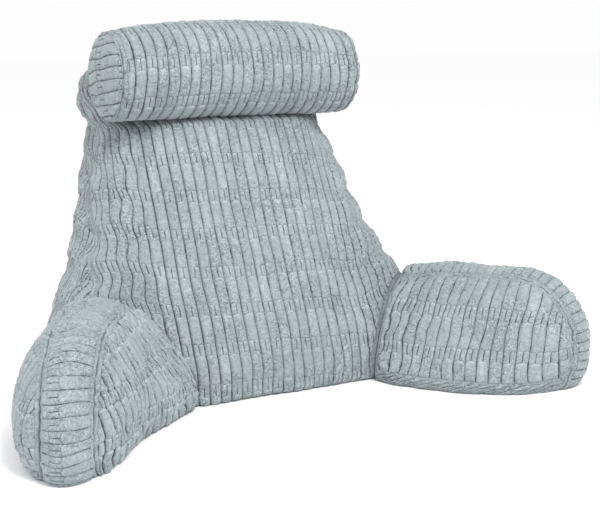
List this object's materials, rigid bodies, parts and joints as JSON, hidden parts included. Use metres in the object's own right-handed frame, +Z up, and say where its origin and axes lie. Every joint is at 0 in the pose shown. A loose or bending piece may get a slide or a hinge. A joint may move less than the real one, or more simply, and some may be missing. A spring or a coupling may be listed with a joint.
{
  "type": "reading pillow with arms and neck roll",
  "caption": "Stuffed reading pillow in wide ribbed plush with two splayed arms and a round neck roll along the top.",
  "frame": {"origin": "on the floor, in the middle of the pillow's footprint, with its four cushions standing above it", "axes": "+Z up; the sitter faces -Y, the way the arms reach out; +X runs along the neck roll, to the right as seen from the front"},
  "size_m": [1.0518, 0.7212, 0.638],
  "materials": {
    "ribbed_plush": "soft cut pile in wide ribs, matt"
  },
  "bodies": {
    "root": {"back_cushion": "ribbed_plush", "arm_left": "ribbed_plush", "arm_right": "ribbed_plush", "neck_roll": "ribbed_plush"}
  },
  "joints": []
}
